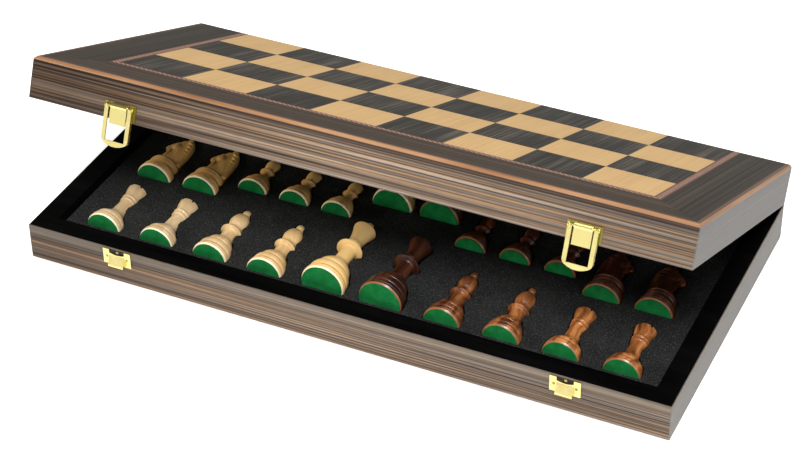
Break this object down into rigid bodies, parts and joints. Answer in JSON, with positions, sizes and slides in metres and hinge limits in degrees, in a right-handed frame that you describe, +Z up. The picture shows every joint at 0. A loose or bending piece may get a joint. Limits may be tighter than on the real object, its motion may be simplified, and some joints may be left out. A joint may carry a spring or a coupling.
{
  "type": "chess box with hinged lid",
  "caption": "Folding wooden chess box: hinged half boxes with an inlaid board outside and a fitted foam tray of turned chessmen inside.",
  "frame": {"origin": "middle of the base's underside, on the plane the box stands on", "axes": "+Z up; X along the hinge, +X to the right seen from the front; the latches are at the front (-Y) and the hinge at the back (+Y)"},
  "size_m": [0.44, 0.2343, 0.1388],
  "materials": {
    "blackened_wood": "matte black lacquer",
    "panel_wood": "plain panel, covered",
    "striped_veneer": "satin grey-brown striped veneer",
    "edge_wood": "satin orange-tan line",
    "rope_inlay": "satin twisted-rope marquetry",
    "dark_veneer": "satin dark veneer",
    "light_veneer": "satin maple veneer",
    "brass": "polished pale brass",
    "foam": "granular charcoal foam",
    "boxwood": "polished cream boxwood",
    "red_brown_wood": "glossy red-brown lacquer",
    "green_felt": "short-pile felt"
  },
  "bodies": {
    "base": {"base_front_wall": "blackened_wood", "base_back_wall": "blackened_wood", "base_left_wall": "blackened_wood", "base_right_wall": "blackened_wood", "base_panel": "panel_wood", "base_side_veneer": "striped_veneer", "base_edge_line": "edge_wood", "base_border_veneer": "striped_veneer", "base_rope_inlay": "rope_inlay", "base_dark_squares": "dark_veneer", "base_light_squares": "light_veneer", "base_hinge_leaves": "brass", "base_hinge_screws": "brass", "hinge_pins": "brass", "latch_catches": "brass", "catch_nails": "brass", "foam_insert": "foam", "white_king": "boxwood", "white_queen": "boxwood", "white_bishops": "boxwood", "white_rooks": "boxwood", "white_knights": "boxwood", "white_pawns": "boxwood", "white_felts": "green_felt", "dark_king": "red_brown_wood", "dark_queen": "red_brown_wood", "dark_bishops": "red_brown_wood", "dark_rooks": "red_brown_wood", "dark_knights": "red_brown_wood", "dark_pawns": "red_brown_wood", "dark_felts": "green_felt"},
    "lid": {"lid_front_wall": "blackened_wood", "lid_back_wall": "blackened_wood", "lid_left_wall": "blackened_wood", "lid_right_wall": "blackened_wood", "lid_panel": "panel_wood", "lid_side_veneer": "striped_veneer", "lid_edge_line": "edge_wood", "lid_border_veneer": "striped_veneer", "lid_rope_inlay": "rope_inlay", "lid_dark_squares": "dark_veneer", "lid_light_squares": "light_veneer", "lid_hinge_leaves": "brass", "lid_hinge_screws": "brass", "latch_plates": "brass", "latch_pins": "brass", "latch_plate_nails": "brass", "lid_lining": "foam"},
    "left_hasp": {"left_hasp": "brass"},
    "right_hasp": {"right_hasp": "brass"}
  },
  "joints": [
    {"name": "lid_hinge", "type": "hinge", "parent": "base", "child": "lid", "pos_m": [0, 0.11015, 0.0271], "axis": [-1, 0, 0], "range_deg": [-23.4, 156.6]},
    {"name": "left_hasp_hinge", "type": "hinge", "parent": "lid", "child": "left_hasp", "pos_m": [-0.1538, -0.09044, 0.12393], "axis": [-1, 0, 0], "range_deg": [0, 120]},
    {"name": "right_hasp_hinge", "type": "hinge", "parent": "lid", "child": "right_hasp", "pos_m": [0.1538, -0.09044, 0.12393], "axis": [-1, 0, 0], "range_deg": [0, 120]}
  ]
}
